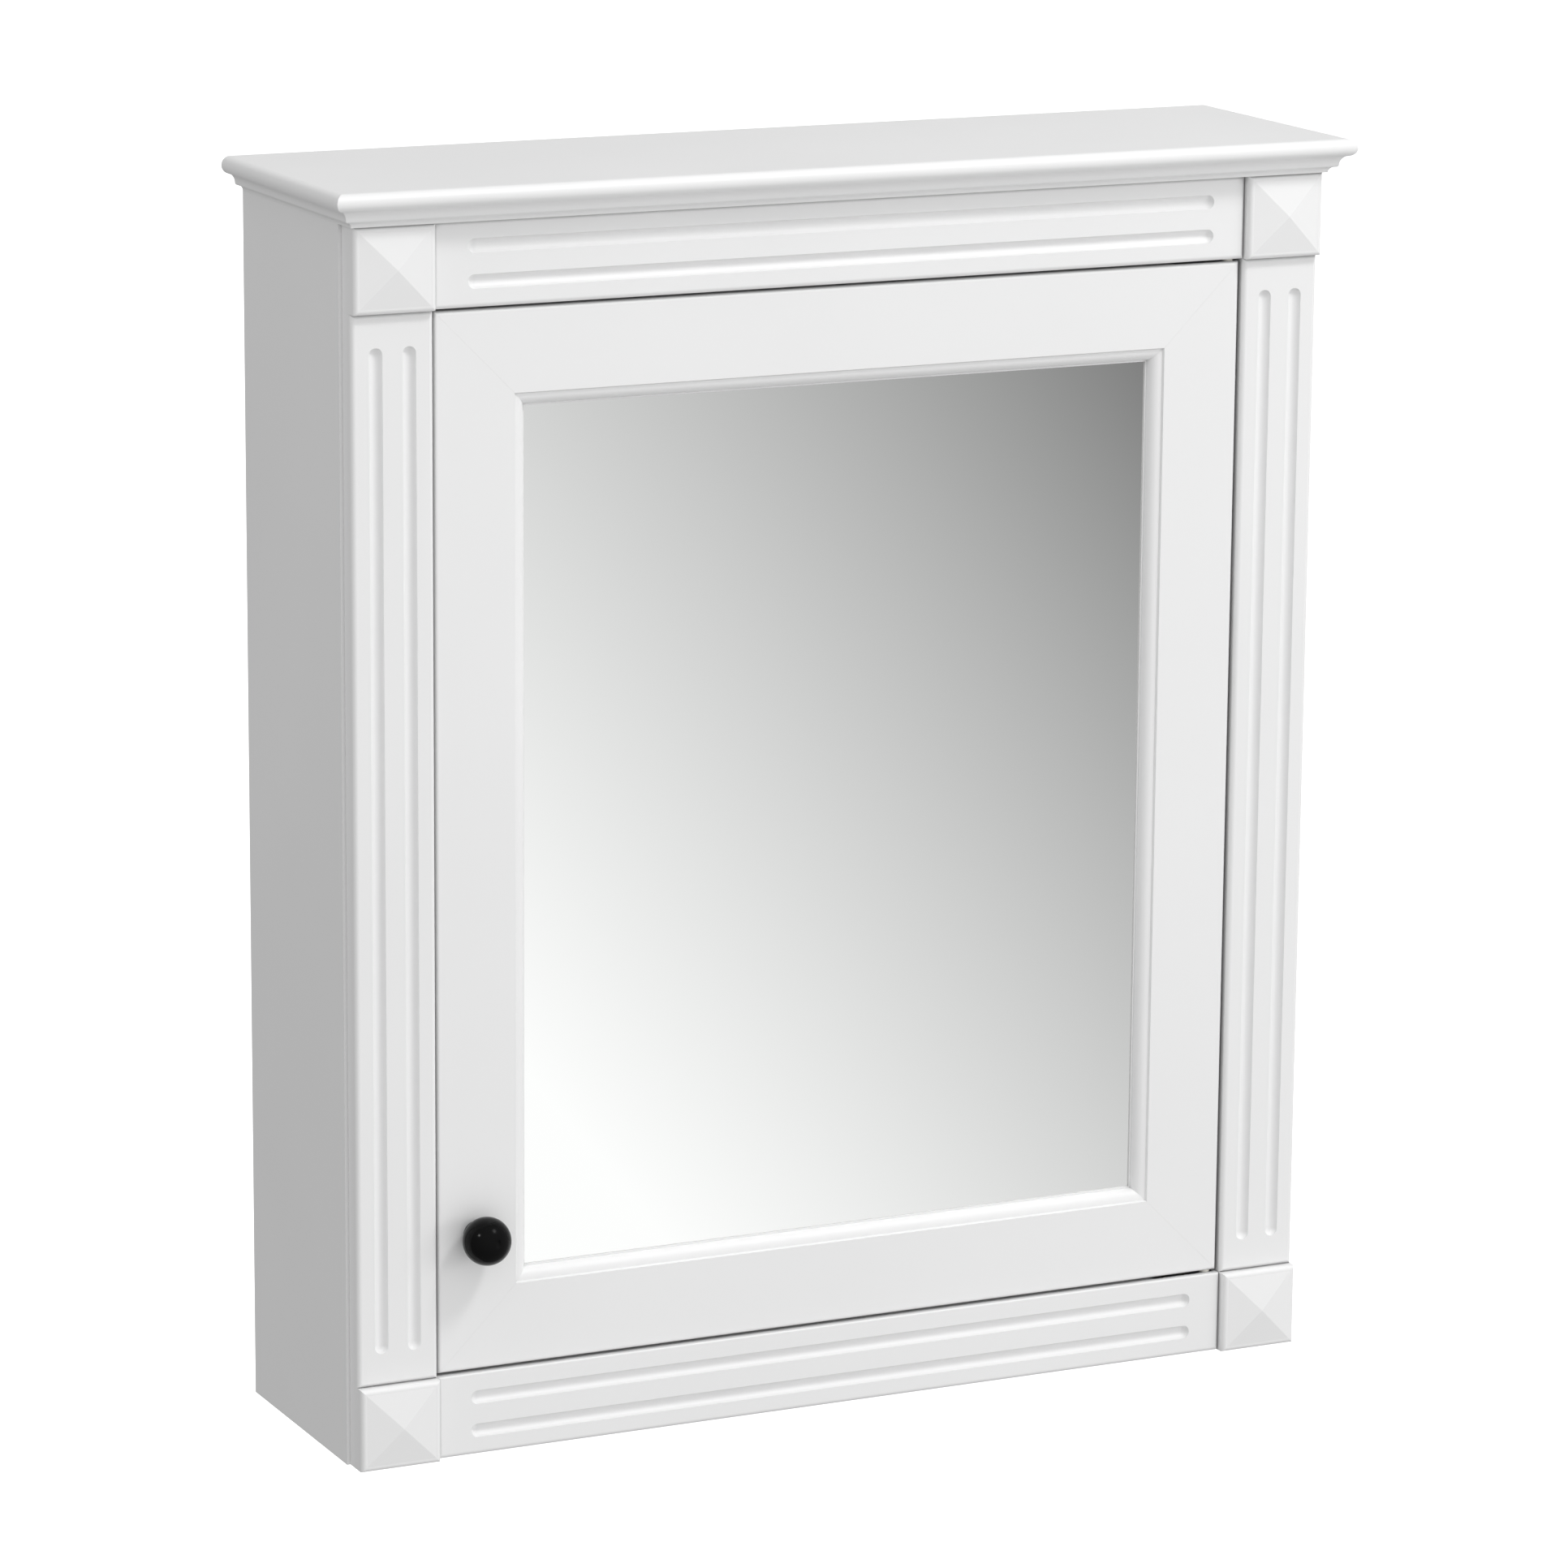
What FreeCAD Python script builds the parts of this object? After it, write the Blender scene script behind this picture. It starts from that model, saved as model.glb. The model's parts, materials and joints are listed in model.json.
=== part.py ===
import FreeCAD, Part

import math
import os

import Sketcher

# A shallow wall cabinet with one framed mirror door, in millimetres.
# X runs to the right seen from the front, Y into the wall and Z up. The origin is
# the middle of the two upper wall fixings, on the plane of the wall.

DIMENSIONS = {
    # case
    "frame_width": 572,           # over the two pilasters
    "frame_height": 672,          # up to the underside of the top board
    "case_depth": 150,            # wall to the face of the pilasters
    "side_thickness": 16,
    "side_lip": 2,                # side panel stands this proud of the pilaster
    "side_housing": 6,            # side panel let into the back of the pilaster
    "panel_thickness": 16,        # floor, ceiling and fixing rails
    "back_thickness": 5,
    "back_rebate": 8,
    "back_play": 0.4,
    "hanging_rail_height": 60,
    "lower_rail_height": 26,
    "fixing_spacing": 400,
    "fixing_radius": 2.75,
    # face frame
    "member_width": 46,           # pilasters, rails and corner blocks
    "member_thickness": 18,
    "block_proud": 5,
    "pyramid_height": 4,
    "pyramid_margin": 2.9,
    "pyramid_tip": 0.6,
    "member_round": 2.4,
    "sill_round": 0.8,            # edge of the bottom rail under the door
    "block_round": 2.6,
    "flute_width": 7.6,
    "flute_depth": 2.8,
    "flute_spacing": 18.8,
    "pilaster_flute_end": 18,
    "rail_flute_end": 19.5,
    # top board
    "board_thickness": 19,
    "cornice_width": 12,
    "cornice_nose": 4.8,          # radius of the half-round nose
    "cornice_foot": 3.2,          # radius of the cove against the case
    "cornice_lip": 1.2,           # rounding of the lip over that cove
    "cornice_cove": 6,            # radius of the large cove under the nose
    "board_reveal": 1,            # foot of the cornice in front of the corner blocks
    # shelves
    "shelf_thickness": 14,
    "shelf_setback": 16,
    "shelf_back_gap": 1,
    "shelf_side_gap": 2,
    "shelf_round": 2,
    "peg_radius": 2.5,
    "peg_hole_play": 0.05,
    "peg_hole_depth": 11,
    "peg_reach": 8,
    "peg_collar": 1.2,
    "peg_collar_radius": 4,
    "peg_step": 32,
    "peg_edge": 24,               # peg centre from the shelf's long edges
    # door
    "door_gap": 1.4,
    "door_thickness": 20,
    "door_recess": 2.7,
    "door_round": 2,
    "stile_flat": 45.5,
    "bead_width": 8,
    "bead_depth": 8,
    "bead_quirk": 1.3,            # step that starts the bead
    "bead_lip": 0.9,              # square edge against the mirror
    "mirror_rebate": 8,
    "mirror_thickness": 4,
    "mirror_play": 0.8,
    "backing_thickness": 3,
    "strip_play": 0.3,
    "spline_thickness": 4,
    "spline_reach": 6,
    "spline_run": 12,
    "spline_play": 0.1,
    # pivot hinges
    "pivot_inset": 5,             # pin from the door's edge and from its face
    "pin_radius": 2,
    "pin_play": 0.05,
    "pin_press_play": 0.01,       # pin in the frame leaf
    "pin_reach": 6,
    "leaf_thickness": 2,
    "leaf_width": 6.4,
    "leaf_tail": 4,
    "leaf_length": 38,
    "leaf_play": 0.1,
    "washer_radius": 3.2,
    "washer_play": 0.05,
    "leaf_screw_first": 13,
    "leaf_screw_step": 14,
    # screws and dowels
    "hole_end_gap": 1,            # left free at the bottom of a blind hole
    "small_dowel_set": 1,         # dowels behind the middle of a frame member
    "screw_radius": 1.5,
    "screw_head": 2.7,
    "screw_length": 12,
    "screw_play": 0.05,
    "bolt_radius": 2,
    "bolt_head": 4,
    "bolt_head_height": 2.4,
    "board_bolt_length": 28,
    "dowel_radius": 4,
    "dowel_half": 10,
    "small_dowel_radius": 3,
    "small_dowel_half": 14,
    "dowel_play": 0.05,
    # knob
    "knob_radius": 13.2,
    "knob_reach": 14,             # centre of the ball from the door's face
    "knob_height": 123.2,         # over the bottom of the frame
    "knob_neck": 5,
    "rose_radius": 8,
    "rose_thickness": 1.5,
    "rose_round": 0.8,
    "knob_thread": 9,
    # magnetic catch
    "catch_offset": 33,           # middle of the catch from the door's left edge
    "catch_length": 28,
    "catch_depth": 14,
    "catch_height": 13,
    "catch_flange": 3,
    "catch_ear": 10,
    "magnet_length": 20,
    "magnet_height": 6,
    "magnet_depth": 6,
    "magnet_play": 0.2,
    "strike_length": 26,
    "strike_height": 11,
    "strike_thickness": 1.2,
    "strike_gap": 0.3,
    "strike_rise": 1,             # strike plate over the door's lower edge
}


class Size:
    """A number worked out from the sheet, with the expression that gives it."""

    def __init__(self, value, text):
        self.value = value
        self.text = text

    def __add__(self, other):
        return combine(self, "+", other, lambda a, b: a + b)

    def __radd__(self, other):
        return combine(other, "+", self, lambda a, b: a + b)

    def __sub__(self, other):
        return combine(self, "-", other, lambda a, b: a - b)

    def __rsub__(self, other):
        return combine(other, "-", self, lambda a, b: a - b)

    def __mul__(self, other):
        return combine(self, "*", other, lambda a, b: a * b)

    def __rmul__(self, other):
        return combine(other, "*", self, lambda a, b: a * b)

    def __truediv__(self, other):
        return combine(self, "/", other, lambda a, b: a / b)

    def __neg__(self):
        return combine(0, "-", self, lambda a, b: a - b)


def as_size(number):
    if isinstance(number, Size):
        return number
    return Size(float(number), repr(float(number)))


def combine(left, sign, right, action):
    left = as_size(left)
    right = as_size(right)
    text = "(" + left.text + " " + sign + " " + right.text + ")"
    return Size(action(left.value, right.value), text)


def root(number):
    return Size(math.sqrt(number.value), "sqrt(" + number.text + ")")


class SizeTable:
    """The spreadsheet's cells as sizes, read by their aliases."""


def make_sheet(numbers):
    table = doc.addObject("Spreadsheet::Sheet", "Sizes")
    sizes = SizeTable()
    for row, (alias, number) in enumerate(numbers.items(), start=1):
        table.set("A%d" % row, alias)
        table.set("B%d" % row, str(number))
        table.setAlias("B%d" % row, alias)
        setattr(sizes, alias, Size(float(number), "Sizes." + alias))
    doc.recompute()
    return sizes


doc = FreeCAD.newDocument("wall_cabinet")
s = make_sheet(DIMENSIONS)
sub_parts = []

LEFT = -1
RIGHT = 1
LOWER = -1
UPPER = 1

# ways that a fastener's head or a dowel's end can point
HEAD_UP = FreeCAD.Rotation()
HEAD_DOWN = FreeCAD.Rotation(FreeCAD.Vector(1, 0, 0), 180)
HEAD_BACK = FreeCAD.Rotation(FreeCAD.Vector(1, 0, 0), -90)
HEAD_FRONT = FreeCAD.Rotation(FreeCAD.Vector(1, 0, 0), 90)
HEAD_RIGHT = FreeCAD.Rotation(FreeCAD.Vector(0, 1, 0), 90)
HEAD_LEFT = FreeCAD.Rotation(FreeCAD.Vector(0, 1, 0), -90)
HALF_TURN = FreeCAD.Rotation(FreeCAD.Vector(0, 1, 0), 180)

# --- places worked out from the driving dimensions ---

half_frame = s.frame_width / 2
half_case = half_frame + s.side_lip
half_inside = half_case - s.side_thickness
half_opening = half_frame - s.member_width
opening_top = s.frame_height - s.member_width
frame_face = -s.case_depth
frame_back = frame_face + s.member_thickness
side_front = frame_back - s.side_housing
ceiling_low = s.frame_height - s.panel_thickness
floor_low = s.member_width - s.panel_thickness
bottom = s.hanging_rail_height / 2 - ceiling_low      # frame bottom in the part's own frame
case_centre = bottom + s.frame_height / 2

door_width = 2 * half_opening - 2 * s.door_gap
door_height = opening_top - s.member_width - 2 * s.door_gap
half_door = door_width / 2
door_low = bottom + s.member_width + s.door_gap
door_face = frame_face + s.door_recess
door_back = door_face + s.door_thickness
stile_width = s.stile_flat + s.bead_width
sight_width = door_width - 2 * stile_width
sight_height = door_height - 2 * stile_width
mirror_front = door_face + s.bead_depth
backing_front = mirror_front + s.mirror_thickness
strip_front = backing_front + s.backing_thickness
rebate_reach = s.mirror_rebate - s.mirror_play

pivot_x = half_door - s.pivot_inset
pivot_y = door_face + s.pivot_inset
leaf_screws = [s.leaf_screw_first + step * s.leaf_screw_step for step in range(2)]

shelf_front = frame_back + s.shelf_setback
shelf_back = -(s.back_thickness + s.shelf_back_gap)
clear_height = ceiling_low - s.member_width
shelf_lows = [s.member_width + (clear_height - s.shelf_thickness) * share / 3 for share in (1, 2)]
peg_rows = [shelf_front + s.peg_edge, shelf_back - s.peg_edge]

catch_x = s.catch_offset - half_door
catch_front = door_back + s.strike_thickness + s.strike_gap
catch_screw_x = (s.catch_length + s.catch_ear) / 2


# --- helpers ---

def bind(thing, name, size):
    thing.setExpression(name, as_size(size).text)


def sub_part(label, thing):
    thing.Label = label
    sub_parts.append(thing)
    return thing


def place(thing, x=0, y=0, z=0, turn=HEAD_UP):
    thing.Placement = FreeCAD.Placement(FreeCAD.Vector(), turn)
    for axis, size in zip("xyz", (x, y, z)):
        if isinstance(size, Size):
            bind(thing, "Placement.Base." + axis, size)


def new_body(name):
    body = doc.addObject("PartDesign::Body", "Body_" + name)
    body.Label = name
    return body


def new_sketch(body, plane, lift=None, shift=None):
    """Empty sketch on one of the body's own origin planes, lifted along its normal."""
    sketch = body.newObject("Sketcher::SketchObject", "Sketch")
    support = [thing for thing in body.Origin.OriginFeatures if thing.Role == plane]
    sketch.AttachmentSupport = [(support[0], "")]
    sketch.MapMode = "FlatFace"
    if lift is not None:
        bind(sketch, "AttachmentOffset.Base.z", lift)
    if shift is not None:
        bind(sketch, "AttachmentOffset.Base.x", shift)
    return sketch


def pin_point(sketch, geometry, end, x, y):
    """Hold a point of the sketch at two sizes; a plain zero puts it on the axis."""
    for kind, axis, size in (("DistanceX", -2, x), ("DistanceY", -1, y)):
        if isinstance(size, Size):
            number = sketch.addConstraint(Sketcher.Constraint(kind, -1, 1, geometry, end, size.value))
            sketch.setExpression("Constraints[%d]" % number, size.text)
        else:
            sketch.addConstraint(Sketcher.Constraint("PointOnObject", geometry, end, axis))


def spot(x, y):
    return FreeCAD.Vector(as_size(x).value, as_size(y).value, 0)


def arc_between(start, end, radius, turn):
    """Short arc from start to end; turn is 1 to the left and -1 to the right."""
    chord = end - start
    middle = (start + end) * 0.5
    rise = math.sqrt(max(radius * radius - chord.Length * chord.Length / 4, 0))
    aside = FreeCAD.Vector(-chord.y, chord.x, 0).normalize()
    centre = middle + aside * (rise * turn)
    first, last = (start, end) if turn > 0 else (end, start)
    angles = [math.atan2(point.y - centre.y, point.x - centre.x) for point in (first, last)]
    circle = Part.Circle(centre, FreeCAD.Vector(0, 0, 1), radius)
    return Part.ArcOfCircle(circle, angles[0], angles[1])


def outline(sketch, corners, arcs=None, closed=True):
    """Run of sides through the corners; arcs gives a side's (radius, turn)."""
    arcs = arcs or {}
    sides = len(corners) if closed else len(corners) - 1
    ends = []
    for number in range(sides):
        start = spot(*corners[number])
        end = spot(*corners[(number + 1) % len(corners)])
        if number in arcs:
            radius, turn = arcs[number]
            geometry = sketch.addGeometry(arc_between(start, end, radius.value, turn))
            ends.append((geometry, 1, 2) if turn > 0 else (geometry, 2, 1))
        else:
            geometry = sketch.addGeometry(Part.LineSegment(start, end))
            ends.append((geometry, 1, 2))
    for number, (geometry, first, last) in enumerate(ends):
        pin_point(sketch, geometry, first, *corners[number])
        if number + 1 < sides or closed:
            following = ends[(number + 1) % sides]
            sketch.addConstraint(Sketcher.Constraint("Coincident", geometry, last, *following[:2]))
        else:
            pin_point(sketch, geometry, last, *corners[-1])
    for number, (radius, turn) in arcs.items():
        geometry = ends[number][0]
        constraint = sketch.addConstraint(Sketcher.Constraint("Radius", geometry, radius.value))
        sketch.setExpression("Constraints[%d]" % constraint, radius.text)
    return sketch


def circles(sketch, centres, radius):
    for x, y in centres:
        geometry = sketch.addGeometry(Part.Circle(spot(x, y), FreeCAD.Vector(0, 0, 1), radius.value))
        pin_point(sketch, geometry, 3, x, y)
        constraint = sketch.addConstraint(Sketcher.Constraint("Radius", geometry, radius.value))
        sketch.setExpression("Constraints[%d]" % constraint, radius.text)
    return sketch


def box_corners(low_x, low_y, high_x, high_y):
    return [(low_x, low_y), (high_x, low_y), (high_x, high_y), (low_x, high_y)]


def extrude(body, kind, sketch, length, both_ways=False, backwards=False):
    feature = body.newObject("PartDesign::" + kind, kind)
    feature.Profile = sketch
    bind(feature, "Length", length)
    feature.SideType = "Symmetric" if both_ways else "One side"
    feature.Reversed = backwards
    body.Tip = feature
    return feature


def cut_box(body, plane, corners, lift, depth, backwards=False):
    sketch = outline(new_sketch(body, plane, lift), corners)
    return extrude(body, "Pocket", sketch, depth, backwards=backwards)


def bore(body, plane, centres, lift, radius, depth, backwards=False):
    sketch = circles(new_sketch(body, plane, lift), centres, radius)
    return extrude(body, "Pocket", sketch, depth, backwards=backwards)


def countersink(body, plane, centres, lift, backwards=False):
    """Screw holes right through, with a cone that takes the head flush."""
    sketch = circles(new_sketch(body, plane, lift), centres, s.screw_radius)
    doc.recompute()
    hole = body.newObject("PartDesign::Hole", "Countersink")
    hole.Profile = sketch
    hole.DepthType = "ThroughAll"
    hole.HoleCutType = "Countersink"
    hole.HoleCutCustomValues = True
    bind(hole, "Diameter", 2 * (s.screw_radius + s.screw_play))
    bind(hole, "HoleCutDiameter", 2 * (s.screw_head + s.screw_play))
    hole.HoleCutCountersinkAngle = 90
    hole.Reversed = backwards
    body.Tip = hole
    return hole


def round_edges(body, radius, wanted):
    """Fillet the tip's edges whose box passes the test."""
    doc.recompute()
    base = body.Tip
    names = []
    for number, edge in enumerate(base.Shape.Edges, start=1):
        if wanted(edge.BoundBox):
            names.append("Edge%d" % number)
    if not names:
        raise ValueError("no edge to round on " + body.Label)
    fillet = body.newObject("PartDesign::Fillet", "Rounding")
    fillet.Base = (base, names)
    bind(fillet, "Radius", radius)
    body.Tip = fillet
    return fillet


def lies_at(low, high, place_value):
    return abs(low - place_value) < 0.01 and abs(high - place_value) < 0.01


def prism(name, corners, height, arcs=None, both_ways=False):
    """Body whose section is drawn in X and Y and runs along Z."""
    body = new_body(name)
    sketch = outline(new_sketch(body, "XY_Plane"), corners, arcs)
    extrude(body, "Pad", sketch, height, both_ways)
    return body


def turned(name, corners, arcs=None):
    """Body turned about its own Z axis from a section in radius and height."""
    body = new_body(name)
    sketch = outline(new_sketch(body, "XZ_Plane"), corners, arcs)
    revolution = body.newObject("PartDesign::Revolution", "Revolution")
    revolution.Profile = sketch
    revolution.ReferenceAxis = (sketch, ["V_Axis"])
    revolution.Angle = 360
    body.Tip = revolution
    return body


def rod(name, radius, length):
    """Plain cylinder along Z, centred on its length."""
    cylinder = doc.addObject("Part::Cylinder", name)
    bind(cylinder, "Radius", radius)
    bind(cylinder, "Height", length)
    bind(cylinder, "Placement.Base.z", -length / 2)
    return cylinder


def group(label, pattern, places):
    """Separate copies of one fastener, each at its (x, y, z, turn)."""
    doc.recompute()
    copies = []
    for x, y, z, turn in places:
        middle = FreeCAD.Vector(as_size(x).value, as_size(y).value, as_size(z).value)
        copy = pattern.Shape.copy()
        copy.Placement = FreeCAD.Placement(middle, turn).multiply(copy.Placement)
        copies.append(copy)
    thing = doc.addObject("Part::Feature", "Group_" + label)
    thing.Shape = Part.makeCompound(copies)
    return sub_part(label, thing)


# --- fasteners, drawn once ---

screw_pattern = turned("screw_pattern", [
    (0, 0),
    (0, -s.screw_length),
    (s.screw_radius / 3, -s.screw_length),
    (s.screw_radius, 2 * s.screw_radius - s.screw_length),
    (s.screw_radius, s.screw_radius - s.screw_head),
    (s.screw_head, 0),
])

board_bolt_pattern = turned("board_bolt_pattern", [
    (0, s.bolt_head_height),
    (0, -s.board_bolt_length),
    (s.bolt_radius / 3, -s.board_bolt_length),
    (s.bolt_radius, 2 * s.bolt_radius - s.board_bolt_length),
    (s.bolt_radius, 0),
    (s.bolt_head, 0),
    (s.bolt_head, s.bolt_head_height / 2),
    (s.bolt_head - s.bolt_head_height / 2, s.bolt_head_height),
], {6: (s.bolt_head_height / 2, 1)})

peg_pattern = turned("peg_pattern", [
    (0, s.peg_reach),
    (0, s.hole_end_gap - s.peg_hole_depth),
    (s.peg_radius, s.hole_end_gap - s.peg_hole_depth),
    (s.peg_radius, 0),
    (s.peg_collar_radius, 0),
    (s.peg_collar_radius, s.peg_collar),
    (s.peg_radius, s.peg_collar),
    (s.peg_radius, s.peg_reach),
])

dowel_pattern = rod("dowel_pattern", s.dowel_radius, 2 * s.dowel_half - s.hole_end_gap)
small_dowel_pattern = rod("small_dowel_pattern", s.small_dowel_radius,
                          2 * s.small_dowel_half - s.hole_end_gap)


# --- case ---

def side_dowel_spots():
    """Where dowels enter the side panels: (y, height over the frame's bottom)."""
    spots = []
    for height in (floor_low + s.panel_thickness / 2, ceiling_low + s.panel_thickness / 2):
        for share in (1, 2, 3):
            spots.append((frame_back * share / 4, height))
    rail_y = -(s.back_thickness + s.panel_thickness / 2)
    for share in (1, 3):
        spots.append((rail_y, ceiling_low - s.hanging_rail_height * share / 4))
    spots.append((-s.panel_thickness / 2, floor_low - s.lower_rail_height / 2))
    return spots


def peg_hole_spots():
    """Three heights for each shelf, in two rows."""
    spots = []
    for low in shelf_lows:
        for step in (-1, 0, 1):
            for row in peg_rows:
                spots.append((row, low - s.peg_radius + step * s.peg_step))
    return spots


def back_screw_spots():
    """Screws round the edge of the back panel: (x, height over the frame's bottom)."""
    edge = half_inside + s.back_rebate / 2
    spots = []
    for share in (1, 3, 5, 7):
        height = floor_low + (s.frame_height - floor_low) * share / 8
        spots.append((-edge, height))
        spots.append((edge, height))
    for height in (floor_low + s.panel_thickness / 2, ceiling_low + s.panel_thickness / 2):
        for share in (-1, 1):
            spots.append((half_inside * share / 2, height))
    return spots


def side_panel(label, hand):
    """Tall board with a back rebate; hand is -1 on the left and 1 on the right."""
    body = prism(label, [
        (hand * half_inside, side_front),
        (hand * half_case, side_front),
        (hand * half_case, 0),
        (hand * (half_inside + s.back_rebate), 0),
        (hand * (half_inside + s.back_rebate), -s.back_thickness),
        (hand * half_inside, -s.back_thickness),
    ], s.frame_height)
    inner = hand * half_inside
    away = hand > 0
    dowel_hole = s.dowel_radius + s.dowel_play
    peg_hole = s.peg_radius + s.peg_hole_play
    bore(body, "YZ_Plane", side_dowel_spots(), inner, dowel_hole, s.dowel_half, away)
    bore(body, "YZ_Plane", peg_hole_spots(), inner, peg_hole, s.peg_hole_depth, away)
    edge_screws = [(x, z) for x, z in back_screw_spots() if hand * x.value > half_inside.value]
    bore(body, "XZ_Plane", edge_screws, s.back_thickness, s.screw_radius + s.screw_play,
         s.screw_length, True)
    place(body, z=bottom)
    return sub_part(label, body)


def cross_board(label, front, back, low, height):
    """Board between the side panels, with dowel holes in both ends."""
    body = prism(label, box_corners(-half_inside, front, half_inside, back), height)
    spots = []
    for y, z in side_dowel_spots():
        if front.value < y.value < back.value and low.value < z.value < (low + height).value:
            spots.append((y, z - low))
    hole = s.dowel_radius + s.dowel_play
    bore(body, "YZ_Plane", spots, half_inside, hole, s.dowel_half)
    bore(body, "YZ_Plane", spots, -half_inside, hole, s.dowel_half, True)
    place(body, z=bottom + low)
    return sub_part(label, body)


def board_bolt_spots():
    return [(half_inside * share_x / 2, frame_back * share_y / 4)
            for share_x in (-1, 0, 1) for share_y in (1, 3)]


def back_edge_screws(body, low):
    """Pilot holes for the back panel in a board's rear edge."""
    spots = []
    for x, z in back_screw_spots():
        if abs(x.value) < half_inside.value:
            spots.append((x, z - low))
    spots = [(x, z) for x, z in spots if 0 < z.value < s.panel_thickness.value]
    bore(body, "XZ_Plane", spots, s.back_thickness, s.screw_radius + s.screw_play,
         s.screw_length, True)


def case_floor():
    body = cross_board("case_floor", frame_back, -s.back_thickness, floor_low, s.panel_thickness)
    back_edge_screws(body, floor_low)
    spots = [(catch_x - catch_screw_x, catch_front + s.catch_depth / 2),
             (catch_x + catch_screw_x, catch_front + s.catch_depth / 2)]
    bore(body, "XY_Plane", spots, s.panel_thickness, s.screw_radius + s.screw_play, s.screw_length)


def case_ceiling():
    body = cross_board("case_ceiling", frame_back, -s.back_thickness, ceiling_low, s.panel_thickness)
    back_edge_screws(body, ceiling_low)
    bore(body, "XY_Plane", board_bolt_spots(), s.panel_thickness,
         s.bolt_radius + s.screw_play, s.panel_thickness)


def fixing_spots(height):
    return [(-s.fixing_spacing / 2, height), (s.fixing_spacing / 2, height)]


def fixing_rails():
    """Board inside the top of the case and a lower one under its floor, drilled for wall screws."""
    back = -s.back_thickness
    low = ceiling_low - s.hanging_rail_height
    rail = cross_board("hanging_rail", back - s.panel_thickness, back, low, s.hanging_rail_height)
    bore(rail, "XZ_Plane", fixing_spots(s.hanging_rail_height / 2), s.back_thickness,
         s.fixing_radius, s.panel_thickness, True)
    low = floor_low - s.lower_rail_height
    rail = cross_board("lower_fixing_rail", -s.panel_thickness, as_size(0), low, s.lower_rail_height)
    bore(rail, "XZ_Plane", fixing_spots(s.lower_rail_height / 2), as_size(0),
         s.fixing_radius, s.panel_thickness, True)


def back_panel():
    half = half_inside + s.back_rebate - s.back_play
    body = prism("back_panel", box_corners(-half, -s.back_thickness, half, 0), s.frame_height - floor_low)
    spots = [(x, z - floor_low) for x, z in back_screw_spots()]
    countersink(body, "XZ_Plane", spots, as_size(0), True)
    rail_height = ceiling_low - s.hanging_rail_height / 2 - floor_low
    bore(body, "XZ_Plane", fixing_spots(rail_height), as_size(0), s.fixing_radius,
         s.back_thickness, True)
    place(body, z=bottom + floor_low)
    sub_part("back_panel", body)


# --- face frame ---

def member_corners(hand, front):
    """Section of a pilaster or corner block, let in for the side panel on its outer back edge."""
    half = s.member_width / 2
    housing = half_frame - half_inside
    return [
        (-hand * half, front),
        (hand * half, front),
        (hand * half, s.member_thickness - s.side_housing),
        (hand * (half - housing), s.member_thickness - s.side_housing),
        (hand * (half - housing), s.member_thickness),
        (-hand * half, s.member_thickness),
    ]


def small_dowel_hole(body, plane, spots, lift, backwards):
    bore(body, plane, spots, lift, s.small_dowel_radius + s.dowel_play, s.small_dowel_half, backwards)


def fluted_member(label, corners, length, flute_end, sill=None):
    """Bar along Z with its face at y = 0, eased edges, two round-ended flutes and dowel holes.
    An edge at the X of a sill is eased less."""
    body = prism(label, corners, length, both_ways=True)

    def at_sill(box):
        return sill is not None and lies_at(box.XMin, box.XMax, sill.value)

    round_edges(body, s.member_round,
                lambda box: lies_at(box.YMin, box.YMax, 0) and not at_sill(box))
    if sill is not None:
        round_edges(body, s.sill_round, lambda box: lies_at(box.YMin, box.YMax, 0) and at_sill(box))
    width = s.flute_width
    depth = s.flute_depth
    radius = (width * width / 4 + depth * depth) / (2 * depth)
    half = length / 2 - flute_end - width / 2
    sketch = new_sketch(body, "YZ_Plane", s.flute_spacing / 2, depth - radius)
    outline(sketch, [(0, half + radius), (radius, half), (radius, -half), (0, -half - radius)],
            {0: (radius, -1), 2: (radius, -1)})
    groove = body.newObject("PartDesign::Groove", "Flute")
    groove.Profile = sketch
    groove.ReferenceAxis = (sketch, ["V_Axis"])
    groove.Angle = 360
    body.Tip = groove
    mirrored = body.newObject("PartDesign::Mirrored", "SecondFlute")
    mirrored.Originals = [groove]
    support = [thing for thing in body.Origin.OriginFeatures if thing.Role == "YZ_Plane"]
    mirrored.MirrorPlane = (support[0], [""])
    body.Tip = mirrored
    centre = [(0, s.member_thickness / 2 + s.small_dowel_set)]
    small_dowel_hole(body, "XY_Plane", centre, length / 2, False)
    small_dowel_hole(body, "XY_Plane", centre, -length / 2, True)
    return body


def pilaster(label, hand):
    length = opening_top - s.member_width
    body = fluted_member(label, member_corners(hand, 0), length, s.pilaster_flute_end)
    place(body, hand * (half_frame - s.member_width / 2), frame_face, case_centre)
    sub_part(label, body)


def leaf_recess(body, plane, lift, pin_depth, toward, backwards):
    """Recess for a hinge leaf and its screws; the pin is at (pin_depth, toward * pivot_x)."""
    near = toward * (pivot_x + s.leaf_tail + s.leaf_play)
    far = toward * (pivot_x + s.leaf_tail - s.leaf_length - s.leaf_play)
    side = s.leaf_width / 2 + s.leaf_play
    corners = box_corners(pin_depth - side, near, pin_depth + side, far)
    cut_box(body, plane, corners, lift, s.leaf_thickness, backwards)
    spots = [(pin_depth, toward * (pivot_x - reach)) for reach in leaf_screws]
    bore(body, plane, spots, lift, s.screw_radius + s.screw_play, s.screw_length, backwards)


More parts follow.
